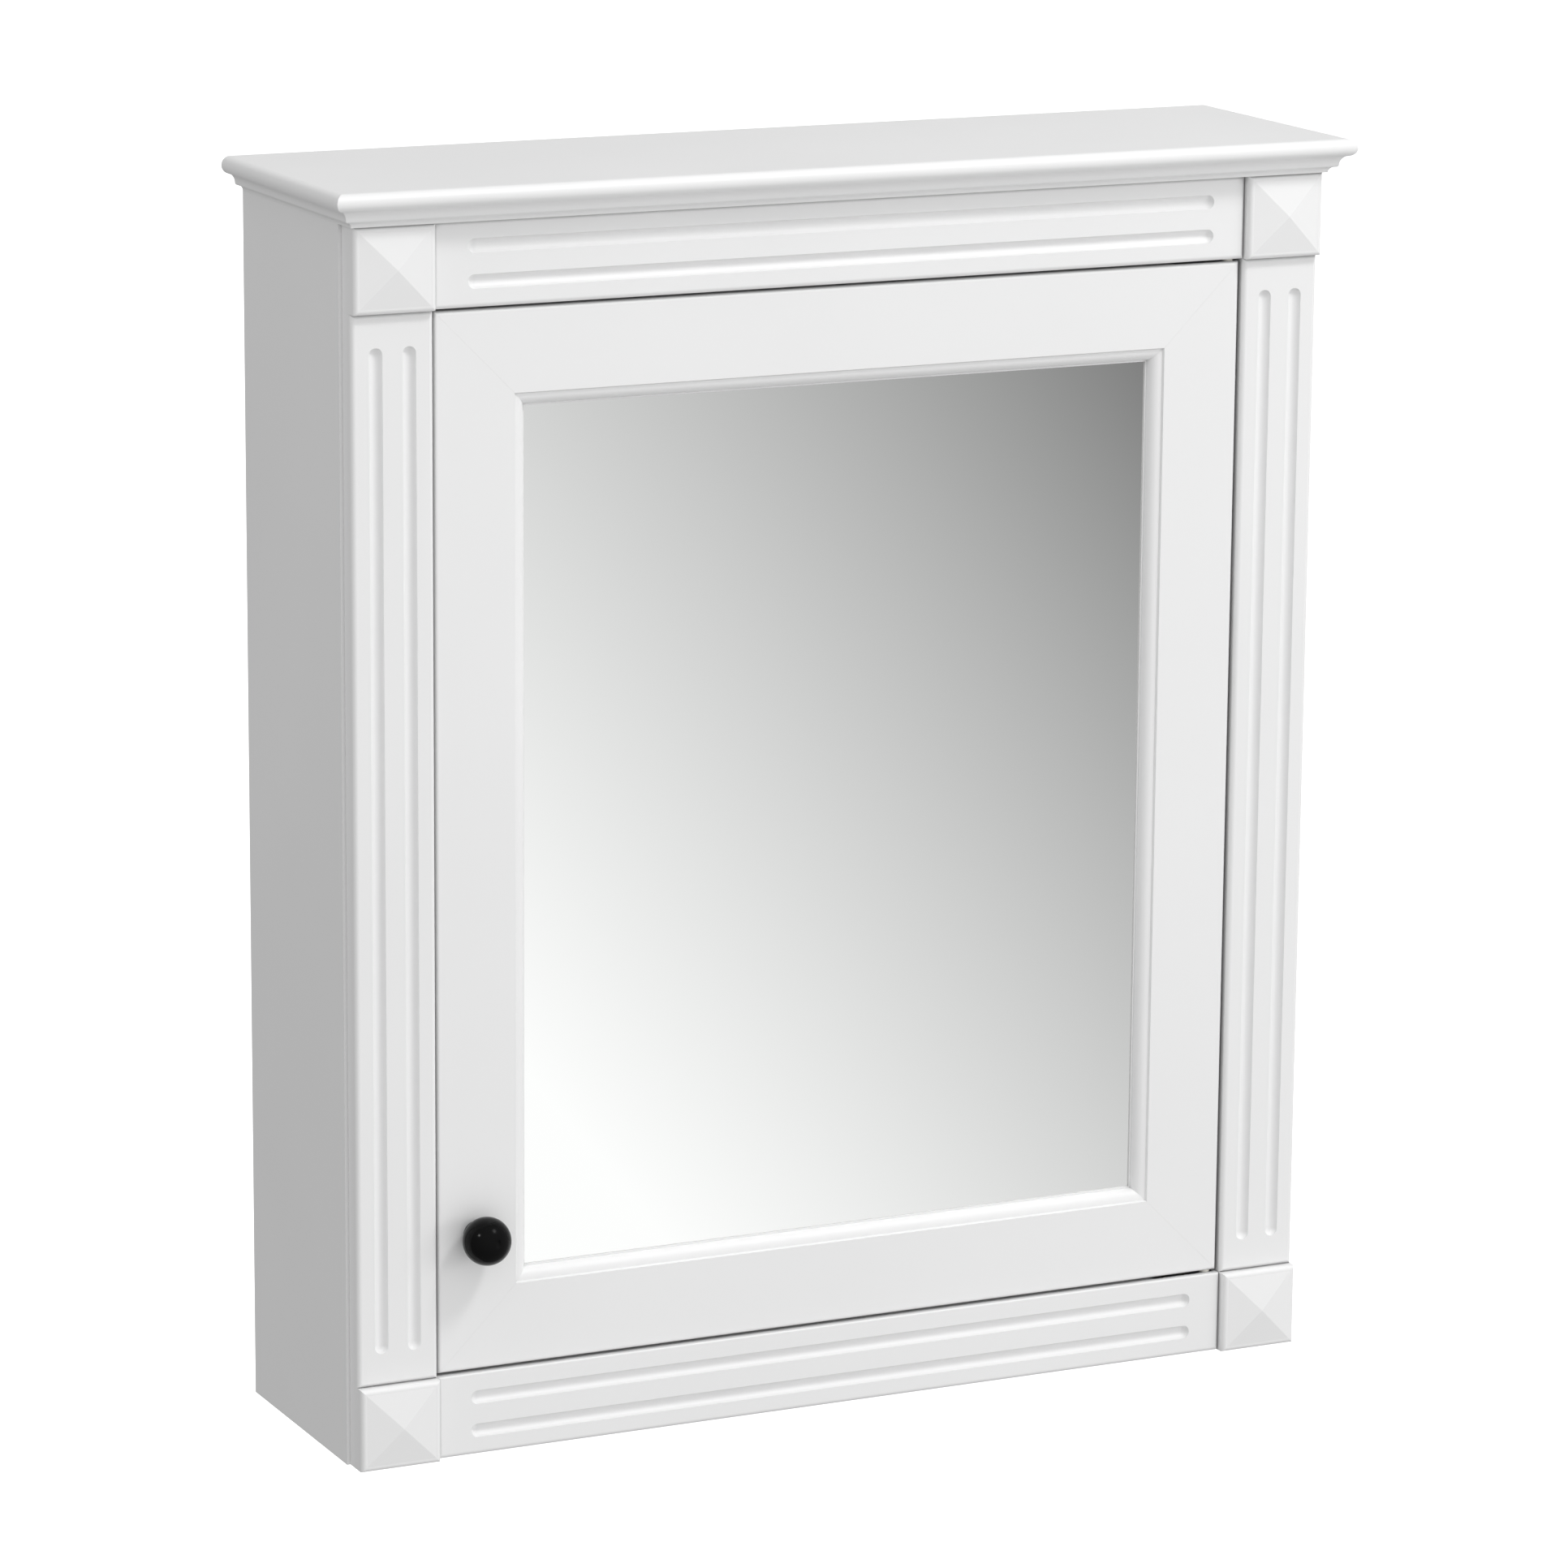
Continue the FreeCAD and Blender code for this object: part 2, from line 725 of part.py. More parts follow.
def frame_rail(label, level):
    """Rail between two blocks; its inner edge takes the frame leaf of a hinge."""
    half = s.member_width / 2
    corners = box_corners(-half, 0, half, s.member_thickness)
    body = fluted_member(label, corners, 2 * half_opening, s.rail_flute_end,
                         None if level > 0 else half)
    leaf_recess(body, "YZ_Plane", half, s.door_recess + s.pivot_inset, level, False)
    height = s.frame_height - half if level > 0 else half
    place(body, 0, frame_face, bottom + height, HEAD_RIGHT if level > 0 else HEAD_LEFT)
    sub_part(label, body)


def corner_block(label, hand, level):
    """Square block with a low pyramid on its face; level is 1 at the top and -1 at the bottom."""
    half = s.member_width / 2
    body = prism(label, member_corners(hand, -s.block_proud), s.member_width, both_ways=True)
    face = -s.block_proud.value
    round_edges(body, s.block_round, lambda box: lies_at(box.YMin, box.YMax, face))
    pyramid = body.newObject("PartDesign::AdditiveWedge", "Pyramid")
    reach = half - s.pyramid_margin
    for name, size in (("Xmin", -reach), ("Xmax", reach), ("Zmin", -reach), ("Zmax", reach),
                       ("X2min", -s.pyramid_tip / 2), ("X2max", s.pyramid_tip / 2),
                       ("Z2min", -s.pyramid_tip / 2), ("Z2max", s.pyramid_tip / 2),
                       ("Ymin", as_size(0)), ("Ymax", s.pyramid_height)):
        bind(pyramid, name, size)
    pyramid.Placement = FreeCAD.Placement(FreeCAD.Vector(), FreeCAD.Rotation(FreeCAD.Vector(0, 0, 1), 180))
    bind(pyramid, "Placement.Base.y", -s.block_proud)
    body.Tip = pyramid
    depth = s.member_thickness / 2 + s.small_dowel_set
    small_dowel_hole(body, "XY_Plane", [(0, depth)], -level * half, level > 0)
    small_dowel_hole(body, "YZ_Plane", [(depth, 0)], -hand * half, hand > 0)
    height = s.frame_height - half if level > 0 else half
    place(body, hand * (half_frame - half), frame_face, bottom + height)
    sub_part(label, body)


# --- top board ---

def top_board():
    """Board with a moulded edge on three sides, drawn from its foot up to the nose."""
    foot_z = s.cornice_foot
    lip_x = s.cornice_foot + s.cornice_lip
    lip_z = s.cornice_foot + s.cornice_lip
    nose_x = s.cornice_width - s.cornice_nose
    nose_z = s.board_thickness - s.cornice_nose
    core = 2 * s.cornice_width
    body = new_body("top_board")
    path = new_sketch(body, "XY_Plane")
    front = frame_face - s.block_proud - s.board_reveal
    outline(path, [(-half_case, 0), (-half_case, front), (half_case, front), (half_case, 0)],
            closed=False)
    profile = new_sketch(body, "XZ_Plane")
    corners = [
        (core - half_case, 0),
        (-half_case, 0),
        (-half_case - s.cornice_foot, foot_z),
        (-half_case - lip_x, lip_z),
        (-half_case - nose_x, nose_z - s.cornice_nose),
        (-half_case - s.cornice_width, nose_z),
        (-half_case - nose_x, s.board_thickness),
        (core - half_case, s.board_thickness),
    ]
    outline(profile, corners, {
        1: (s.cornice_foot, 1),
        2: (s.cornice_lip, -1),
        3: (s.cornice_cove, 1),
        4: (s.cornice_nose, -1),
        5: (s.cornice_nose, -1),
    })
    doc.recompute()
    moulding = body.newObject("PartDesign::AdditivePipe", "Moulding")
    moulding.Profile = profile
    moulding.Spine = (path, [])
    moulding.Transition = "Right corner"
    body.Tip = moulding
    sketch = new_sketch(body, "XY_Plane")
    half = half_case - s.cornice_width
    outline(sketch, box_corners(-half, front + s.cornice_width, half, 0))
    extrude(body, "Pad", sketch, s.board_thickness)
    bore(body, "XY_Plane", board_bolt_spots(), as_size(0), s.bolt_radius + s.screw_play,
         s.board_bolt_length - s.panel_thickness + s.hole_end_gap, True)
    place(body, z=bottom + s.frame_height)
    sub_part("top_board", body)


# --- shelves ---

def shelf(label, low):
    half = half_inside - s.shelf_side_gap
    body = prism(label, box_corners(-half, shelf_front, half, shelf_back), s.shelf_thickness)
    front = shelf_front.value
    round_edges(body, s.shelf_round,
                lambda box: lies_at(box.YMin, box.YMax, front) and box.XLength > box.ZLength)
    place(body, z=bottom + low)
    sub_part(label, body)


def shelf_pegs():
    places = []
    for low in shelf_lows:
        height = bottom + low - s.peg_radius
        for row in peg_rows:
            places.append((-half_inside, row, height, HEAD_RIGHT))
            places.append((half_inside, row, height, HEAD_LEFT))
    group("shelf_pegs", peg_pattern, places)


# --- door ---

def door_bar(label, length):
    """Moulded bar along Z, outer edge at x = 0 and face at y = 0, mitred at both ends."""
    flat = s.stile_flat
    deep = s.bead_depth
    rebate = stile_width - s.mirror_rebate
    quirk = s.bead_quirk
    bead_x = stile_width - s.bead_lip
    rise = deep - s.bead_lip - quirk
    run = bead_x - flat - quirk / 2
    radius = (rise * rise + run * run) / (2 * rise)
    body = prism(label, [
        (s.door_round, 0),
        (flat, 0),
        (flat + quirk / 2, quirk),
        (bead_x, deep - s.bead_lip),
        (stile_width, deep - s.bead_lip),
        (stile_width, deep),
        (rebate, deep),
        (rebate, s.door_thickness),
        (0, s.door_thickness),
        (0, s.door_round),
    ], length, {2: (radius, 1), 9: (s.door_round, 1)}, both_ways=True)
    half = length / 2
    over = 2 * stile_width
    for end in (UPPER, LOWER):
        corners = [(0, end * half), (over, end * half), (over, end * (half - over))]
        extrude(body, "Pocket", outline(new_sketch(body, "XZ_Plane"), corners),
                3 * s.door_thickness, both_ways=True)
    middle = s.stile_flat / 2
    along = s.spline_run + s.spline_play
    across = s.spline_reach + s.spline_play
    slot = s.spline_thickness + 2 * s.spline_play
    for end in (UPPER, LOWER):
        corners = [
            (middle - along - across, end * (half - middle + along - across)),
            (middle + along - across, end * (half - middle - along - across)),
            (middle + along + across, end * (half - middle - along + across)),
            (middle - along + across, end * (half - middle + along + across)),
        ]
        sketch = outline(new_sketch(body, "XZ_Plane", (slot - s.door_thickness) / 2), corners)
        extrude(body, "Pocket", sketch, slot)
    return body


def pin_hole(body, plane, spots, lift, backwards):
    bore(body, plane, spots, lift, s.pin_radius + s.pin_play,
         s.leaf_thickness + s.pin_reach + s.hole_end_gap, backwards)


def door_stiles():
    """Uprights; the left one is drilled for the knob and the right one at both ends for the pins."""
    centre = door_low + door_height / 2
    left = door_bar("door_stile_left", door_height)
    knob_z = bottom + s.knob_height - centre
    bore(left, "XZ_Plane", [(s.stile_flat / 2, knob_z)], as_size(0), s.bolt_radius + s.screw_play,
         s.door_thickness)
    place(left, -half_door, door_face, centre)
    sub_part("door_stile_left", left)
    right = door_bar("door_stile_right", door_height)
    side = s.leaf_width / 2 + s.leaf_play
    start = s.pivot_inset - s.leaf_tail - s.leaf_play
    recess = box_corners(start, s.pivot_inset - side, start + s.leaf_length, s.pivot_inset + side)
    for end in (UPPER, LOWER):
        backwards = end < 0
        cut_box(right, "XY_Plane", recess, end * door_height / 2, s.leaf_thickness, backwards)
        pin_hole(right, "XY_Plane", [(s.pivot_inset, s.pivot_inset)], end * door_height / 2, backwards)
    place(right, half_door, door_face, centre, HALF_TURN)
    sub_part("door_stile_right", right)


def door_rail(label, level):
    """Cross bar; its outer edge takes the door leaf of a hinge at the right-hand end."""
    body = door_bar(label, door_width)
    leaf_recess(body, "YZ_Plane", as_size(0), s.pivot_inset, level, True)
    pin_hole(body, "YZ_Plane", [(s.pivot_inset, level * pivot_x)], as_size(0), True)
    if level < 0:
        bore(body, "XZ_Plane", [(s.strike_rise + s.strike_height / 2, -catch_x)], -s.door_thickness,
             s.screw_radius + s.screw_play, s.screw_length, True)
    height = door_low + door_height if level > 0 else door_low
    place(body, 0, door_face, height, HEAD_RIGHT if level > 0 else HEAD_LEFT)
    sub_part(label, body)


def mitre_splines():
    """Loose tongues glued across the four mitres."""
    spline = doc.addObject("Part::Box", "spline_pattern")
    bind(spline, "Length", 2 * s.spline_run * math.sqrt(2))
    bind(spline, "Height", 2 * s.spline_reach * math.sqrt(2))
    bind(spline, "Width", s.spline_thickness)
    bind(spline, "Placement.Base.x", -s.spline_run * math.sqrt(2))
    bind(spline, "Placement.Base.z", -s.spline_reach * math.sqrt(2))
    bind(spline, "Placement.Base.y", -s.spline_thickness / 2)
    places = []
    centre = door_low + door_height / 2
    inset = s.stile_flat / 2
    for hand in (LEFT, RIGHT):
        for level in (LOWER, UPPER):
            turn = FreeCAD.Rotation(FreeCAD.Vector(0, 1, 0), -45 if hand == level else 45)
            places.append((hand * (half_door - inset), door_face + s.door_thickness / 2,
                           centre + level * (door_height / 2 - inset), turn))
    group("mitre_splines", spline, places)


def pane(label, front, thickness):
    """Flat sheet that lies in the rebate at the back of the door."""
    half = sight_width / 2 + rebate_reach
    body = prism(label, box_corners(-half, 0, half, thickness), sight_height + 2 * rebate_reach)
    place(body, 0, front, door_low + stile_width - rebate_reach)
    sub_part(label, body)


def retaining_strips():
    """Four strips that hold the mirror and its backing, flush with the back of the door."""
    width = s.mirror_rebate - s.strip_play
    thickness = door_back - strip_front
    half = sight_width / 2 + width
    low = door_low + stile_width - width
    height = sight_height + 2 * width
    for label, z in (("mirror_strip_bottom", low), ("mirror_strip_top", low + height - width)):
        body = prism(label, box_corners(-half, 0, half, thickness), width)
        place(body, 0, strip_front, z)
        sub_part(label, body)
    for label, hand in (("mirror_strip_left", LEFT), ("mirror_strip_right", RIGHT)):
        corners = box_corners(-width / 2, 0, width / 2, thickness)
        body = prism(label, corners, height - 2 * width - 2 * s.strip_play)
        place(body, hand * (half - width / 2), strip_front, low + width + s.strip_play)
        sub_part(label, body)


# --- hinges ---

def hinge_leaf(label, hole_play, z, exposed_up):
    """Steel leaf with the pin's hole at its origin and countersunk holes on the exposed side."""
    side = s.leaf_width / 2
    body = prism(label, box_corners(s.leaf_tail - s.leaf_length, -side, s.leaf_tail, side), s.leaf_thickness)
    bore(body, "XY_Plane", [(0, 0)], s.leaf_thickness, s.pin_radius + hole_play, s.leaf_thickness)
    countersink(body, "XY_Plane", [(-reach, 0) for reach in leaf_screws], s.leaf_thickness)
    place(body, pivot_x, pivot_y, z, HEAD_UP if exposed_up else HEAD_DOWN)
    sub_part(label, body)


def hinges():
    """A pivot hinge let into the frame and the door at the bottom and at the top."""
    screw_seats = {"hinge_frame_screws": [], "hinge_door_screws": []}
    rail_edges = {LOWER: bottom + s.member_width, UPPER: bottom + opening_top}
    door_edges = {LOWER: door_low, UPPER: door_low + door_height}
    washers = []
    pin_length = 2 * s.leaf_thickness + s.door_gap + s.pin_reach
    pin_pattern = rod("pin_pattern", s.pin_radius, pin_length)
    washer_pattern = turned("washer_pattern", box_corners(
        s.pin_radius + s.pin_play, -s.door_gap / 2 + s.washer_play,
        s.washer_radius, s.door_gap / 2 - s.washer_play))
    for level, word in ((LOWER, "bottom"), (UPPER, "top")):
        frame_edge = rail_edges[level]
        door_edge = door_edges[level]
        below = level < 0
        hinge_leaf("hinge_frame_leaf_" + word, s.pin_press_play,
                   frame_edge + level * s.leaf_thickness, below)
        hinge_leaf("hinge_door_leaf_" + word, s.pin_play,
                   door_edge - level * s.leaf_thickness, not below)
        middle = frame_edge + level * (s.leaf_thickness - pin_length / 2)
        group("hinge_pin_" + word, pin_pattern, [(pivot_x, pivot_y, middle, HEAD_UP)])
        washers.append((pivot_x, pivot_y, (frame_edge + door_edge) / 2, HEAD_UP))
        for reach in leaf_screws:
            screw_seats["hinge_frame_screws"].append(
                (pivot_x - reach, pivot_y, frame_edge, HEAD_UP if below else HEAD_DOWN))
            screw_seats["hinge_door_screws"].append(
                (pivot_x - reach, pivot_y, door_edge, HEAD_DOWN if below else HEAD_UP))
    group("hinge_washers", washer_pattern, washers)
    for label, places in screw_seats.items():
        group(label, screw_pattern, places)


# --- knob and catch ---

def knob():
    """Ball on a short neck, its rose, and the bolt that holds them from inside the door."""
    x = s.stile_flat / 2 - half_door
    z = bottom + s.knob_height
    hole = s.bolt_radius + s.screw_play
    shoulder = s.knob_reach - root(s.knob_radius * s.knob_radius - s.knob_neck * s.knob_neck)
    blind = s.rose_thickness + s.knob_thread + s.hole_end_gap
    ball = turned("knob", [
        (hole, s.rose_thickness),
        (s.knob_neck, s.rose_thickness),
        (s.knob_neck, shoulder),
        (s.knob_radius, s.knob_reach),
        (0, s.knob_reach + s.knob_radius),
        (0, blind),
        (hole, blind),
    ], {2: (s.knob_radius, 1), 3: (s.knob_radius, 1)})
    place(ball, x, door_face, z, HEAD_FRONT)
    sub_part("knob", ball)
    rose = turned("knob_rose", [
        (hole, 0),
        (s.rose_radius, 0),
        (s.rose_radius, s.rose_thickness - s.rose_round),
        (s.rose_radius - s.rose_round, s.rose_thickness),
        (hole, s.rose_thickness),
    ], {2: (s.rose_round, 1)})
    place(rose, x, door_face, z, HEAD_FRONT)
    sub_part("knob_rose", rose)
    end = s.door_thickness + s.rose_thickness + s.knob_thread
    bolt = turned("knob_bolt", [
        (0, -s.bolt_head_height),
        (s.bolt_head - s.bolt_head_height / 2, -s.bolt_head_height),
        (s.bolt_head, -s.bolt_head_height / 2),
        (s.bolt_head, 0),
        (s.bolt_radius, 0),
        (s.bolt_radius, end),
        (0, end),
    ], {1: (s.bolt_head_height / 2, 1)})
    place(bolt, x, door_back, z, HEAD_FRONT)
    sub_part("knob_bolt", bolt)


def catch():
    """Magnetic catch on the floor of the case and its strike plate on the back of the door."""
    half = s.catch_length / 2
    case = prism("catch_case", box_corners(-half, 0, half, s.catch_depth), s.catch_height)
    wide = half + s.catch_ear
    ears = new_sketch(case, "XY_Plane")
    outline(ears, box_corners(-wide, 0, wide, s.catch_depth))
    extrude(case, "Pad", ears, s.catch_flange)
    low = s.catch_height / 2 - s.magnet_height / 2
    play = s.magnet_play
    slot = box_corners(-s.magnet_length / 2 - play, low - play,
                       s.magnet_length / 2 + play, low + s.magnet_height + play)
    cut_box(case, "XZ_Plane", slot, as_size(0), s.magnet_depth)
    spots = [(-catch_screw_x, s.catch_depth / 2), (catch_screw_x, s.catch_depth / 2)]
    countersink(case, "XY_Plane", spots, s.catch_flange)
    floor_top = bottom + s.member_width
    place(case, catch_x, catch_front, floor_top)
    sub_part("catch_case", case)
    corners = box_corners(-s.magnet_length / 2, 0, s.magnet_length / 2, s.magnet_depth)
    magnet = prism("catch_magnet", corners, s.magnet_height)
    place(magnet, catch_x, catch_front, floor_top + low)
    sub_part("catch_magnet", magnet)
    group("catch_screws", screw_pattern, [
        (catch_x + hand * catch_screw_x, catch_front + s.catch_depth / 2,
         floor_top + s.catch_flange, HEAD_UP) for hand in (LEFT, RIGHT)])
    strike = prism("strike_plate", box_corners(-s.strike_length / 2, 0, s.strike_length / 2,
                                               s.strike_thickness), s.strike_height)
    countersink(strike, "XZ_Plane", [(0, s.strike_height / 2)], -s.strike_thickness, True)
    place(strike, catch_x, door_back, door_low + s.strike_rise)
    sub_part("strike_plate", strike)
    group("strike_screw", screw_pattern, [
        (catch_x, door_back + s.strike_thickness,
         door_low + s.strike_rise + s.strike_height / 2, HEAD_BACK)])


# --- fasteners in their places ---

def dowels():
    places = []
    for y, height in side_dowel_spots():
        for hand in (LEFT, RIGHT):
            places.append((hand * half_inside, y, bottom + height, HEAD_RIGHT))
    group("case_dowels", dowel_pattern, places)
    depth = frame_face + s.member_thickness / 2 + s.small_dowel_set
    places = []
    for hand in (LEFT, RIGHT):
        for height in (s.member_width, opening_top):
            places.append((hand * (half_frame - s.member_width / 2), depth, bottom + height, HEAD_UP))
        for height in (s.member_width / 2, s.frame_height - s.member_width / 2):
            places.append((hand * half_opening, depth, bottom + height, HEAD_RIGHT))
    group("frame_dowels", small_dowel_pattern, places)


def case_screws():
    group("back_panel_screws", screw_pattern,
          [(x, 0, bottom + z, HEAD_BACK) for x, z in back_screw_spots()])
    group("top_board_screws", board_bolt_pattern,
          [(x, y, bottom + ceiling_low, HEAD_DOWN) for x, y in board_bolt_spots()])


def check_and_write():
    """Stop on any failed object, empty cut or bad shape, then write every sub-part."""
    doc.recompute()
    for thing in doc.Objects:
        if "Invalid" in thing.State or "Error" in thing.State:
            raise ValueError("failed: " + thing.Label + " " + thing.Name)
        if thing.TypeId in ("PartDesign::Pocket", "PartDesign::Groove", "PartDesign::Hole"):
            if thing.BaseFeature.Shape.Volume - thing.Shape.Volume < 0.01:
                raise ValueError("cuts nothing: " + thing.Name + " of " + thing.getParent().Label)
    for thing in sub_parts:
        if thing.Shape.isNull() or not thing.Shape.isValid():
            raise ValueError("bad shape: " + thing.Label)
    os.makedirs("parts", exist_ok=True)
    for thing in sub_parts:
        thing.Shape.exportStep("parts/" + thing.Label + ".step")


side_panel("side_panel_left", LEFT)
side_panel("side_panel_right", RIGHT)
case_floor()
case_ceiling()
fixing_rails()
back_panel()
pilaster("pilaster_left", LEFT)
pilaster("pilaster_right", RIGHT)
frame_rail("frame_rail_bottom", LOWER)
frame_rail("frame_rail_top", UPPER)
corner_block("corner_block_top_left", LEFT, UPPER)
corner_block("corner_block_top_right", RIGHT, UPPER)
corner_block("corner_block_bottom_left", LEFT, LOWER)
corner_block("corner_block_bottom_right", RIGHT, LOWER)
top_board()
shelf("shelf_lower", shelf_lows[0])
shelf("shelf_upper", shelf_lows[1])
shelf_pegs()
door_stiles()
door_rail("door_rail_bottom", LOWER)
door_rail("door_rail_top", UPPER)
mitre_splines()
pane("mirror_glass", mirror_front, s.mirror_thickness)
pane("mirror_backing", backing_front, s.backing_thickness)
retaining_strips()
hinges()
knob()
catch()
dowels()
case_screws()
check_and_write()
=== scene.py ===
"""Looks of the hanging wall cabinet: lacquer, mirror, metal and raw wood, in a white studio."""

import json
import math

import bmesh
import bpy
from mathutils import Matrix, Vector


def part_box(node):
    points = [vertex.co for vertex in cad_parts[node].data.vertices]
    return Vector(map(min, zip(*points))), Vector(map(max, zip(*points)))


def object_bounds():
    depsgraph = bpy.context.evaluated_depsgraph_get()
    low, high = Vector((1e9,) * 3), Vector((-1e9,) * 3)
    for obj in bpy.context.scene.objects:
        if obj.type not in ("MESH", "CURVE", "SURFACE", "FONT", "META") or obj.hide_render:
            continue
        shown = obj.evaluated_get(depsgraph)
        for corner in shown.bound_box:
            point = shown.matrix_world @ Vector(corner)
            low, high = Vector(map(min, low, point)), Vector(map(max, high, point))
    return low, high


MM = 0.001

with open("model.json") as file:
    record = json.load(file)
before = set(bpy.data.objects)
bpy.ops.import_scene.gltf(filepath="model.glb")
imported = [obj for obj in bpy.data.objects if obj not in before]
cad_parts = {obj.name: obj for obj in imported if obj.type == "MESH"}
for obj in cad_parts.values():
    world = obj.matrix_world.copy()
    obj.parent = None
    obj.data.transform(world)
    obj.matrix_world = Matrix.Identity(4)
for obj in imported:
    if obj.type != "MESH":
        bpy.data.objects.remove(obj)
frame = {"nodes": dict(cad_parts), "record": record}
cad_box = [list(corner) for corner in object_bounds()]


# ---------------------------------------------------------------- helpers


def linear(hex_colour):
    """The linear colour that a shader needs for an sRGB hex value."""
    shares = [int(hex_colour[i : i + 2], 16) / 255 for i in (1, 3, 5)]
    curve = [s / 12.92 if s <= 0.04045 else ((s + 0.055) / 1.055) ** 2.4 for s in shares]
    return (*curve, 1)


def per(size):
    """How many times a pattern of this size in millimetres repeats in a metre."""
    return 1 / (size * MM)


def add(tree, kind, feeds=None, out=None, **settings):
    """Adds a node with its settings, feeds its sockets, and returns one of its outputs."""
    node = tree.nodes.new("ShaderNode" + kind)
    for name, value in settings.items():
        setattr(node, name, value)
    for socket in node.inputs:
        value = (feeds or {}).get(socket.identifier)
        if isinstance(value, bpy.types.NodeSocket):
            tree.links.new(value, socket)
        elif value is not None:
            socket.default_value = value
    for socket in node.outputs:
        if socket.identifier == out or (out is None and socket.enabled):
            return socket


def material(build):
    """A material named for the function that builds its shader."""
    made = bpy.data.materials.new(build.__name__)
    made.use_nodes = True
    made.node_tree.nodes.clear()
    add(made.node_tree, "OutputMaterial", {"Surface": build(made.node_tree)})
    return made


# ---------------------------------------------------------------- finishes


def satin_lacquer_and_painted_shade(tree):
    """White lacquer sprayed on MDF: an even satin white, with a faint orange peel and edges that
    the
    film rounds off. Painted shade: the white turns to grey where nearby surfaces crowd in, in the
    quirks."""
    place = add(tree, "TexCoord", out="Object")
    cloud = add(tree, "TexNoise", {"Vector": place, "Scale": per(160), "Detail": 3})
    # painted shade: ambient occlusion over 5 mm finds where other surfaces crowd in
    nearness = add(tree, "AmbientOcclusion", {"Distance": 5 * MM}, out="AO", samples=4)
    painted_shade_mask = add(tree, "MapRange", {"Value": nearness, "From Min": 0.3, "From Max": 0.75})
    white = add(
        tree,
        "Mix",
        {"Factor_Float": cloud, "A_Color": linear("#f2f2f2"), "B_Color": linear("#f7f7f7")},
        data_type="RGBA",
    )
    # painted shade: the white is mixed toward the grey #cecece in the quirks and crevices
    colour = add(
        tree,
        "Mix",
        {"Factor_Float": painted_shade_mask, "A_Color": linear("#cecece"), "B_Color": white},
        data_type="RGBA",
    )
    peel = add(tree, "TexNoise", {"Vector": place, "Scale": per(1.8), "Detail": 2})
    gloss = add(tree, "MapRange", {"Value": cloud, "To Min": 0.42, "To Max": 0.52})
    rounded = add(tree, "Bevel", {"Radius": 0.25 * MM}, samples=4)
    relief = add(
        tree, "Bump", {"Height": peel, "Distance": 0.012 * MM, "Strength": 0.5, "Normal": rounded}
    )
    return add(
        tree,
        "BsdfPrincipled",
        {"Base Color": colour, "Roughness": gloss, "IOR": 1.5, "Normal": relief},
    )


def silvered_float_glass(tree):
    """A mirror: silver behind float glass, with faint dust, green edges and grey backing paint."""
    place = add(tree, "TexCoord", out="Object")
    facing = add(tree, "TexCoord", out="Normal")
    across = add(tree, "SeparateXYZ", {"Vector": facing}, out="Y")
    front = add(
        tree,
        "MapRange",
        {"Value": across, "From Min": -0.9, "From Max": -0.8, "To Min": 1, "To Max": 0},
    )
    back = add(tree, "MapRange", {"Value": across, "From Min": 0.8, "From Max": 0.9})
    dust = add(tree, "TexNoise", {"Vector": place, "Scale": per(0.9), "Detail": 4})
    haze = add(
        tree,
        "MapRange",
        {"Value": dust, "From Min": 0.55, "From Max": 0.8, "To Min": 0.004, "To Max": 0.03},
    )
    silver = add(
        tree,
        "BsdfPrincipled",
        {"Base Color": linear("#f7f8f7"), "Metallic": 1.0, "Roughness": haze},
    )
    paint = add(
        tree,
        "Mix",
        {"Factor_Float": back, "A_Color": linear("#4f7a68"), "B_Color": linear("#6e7072")},
        data_type="RGBA",
    )
    ground = add(tree, "MapRange", {"Value": dust, "To Min": 0.25, "To Max": 0.5})
    edge = add(tree, "BsdfPrincipled", {"Base Color": paint, "Roughness": ground, "IOR": 1.52})
    return add(tree, "MixShader", {"Fac": front, "Shader": edge, "Shader_001": silver})


def black_enamel(tree):
    """Stoved gloss enamel on a cast knob: deep black under a clear glassy film, barely rippled."""
    place = add(tree, "TexCoord", out="Object")
    ripple = add(tree, "TexNoise", {"Vector": place, "Scale": per(2.5), "Detail": 2})
    speck = add(tree, "TexNoise", {"Vector": place, "Scale": per(0.5), "Detail": 3})
    colour = add(
        tree,
        "Mix",
        {"Factor_Float": speck, "A_Color": linear("#010101"), "B_Color": linear("#060607")},
        data_type="RGBA",
    )
    gloss = add(tree, "MapRange", {"Value": speck, "To Min": 0.12, "To Max": 0.17})
    relief = add(tree, "Bump", {"Height": ripple, "Distance": 0.001 * MM, "Strength": 0.4})
    return add(
        tree,
        "BsdfPrincipled",
        {
            "Base Color": colour,
            "Roughness": gloss,
            "IOR": 1.5,
            "Specular IOR Level": 0.12,
            "Normal": relief,
        },
    )


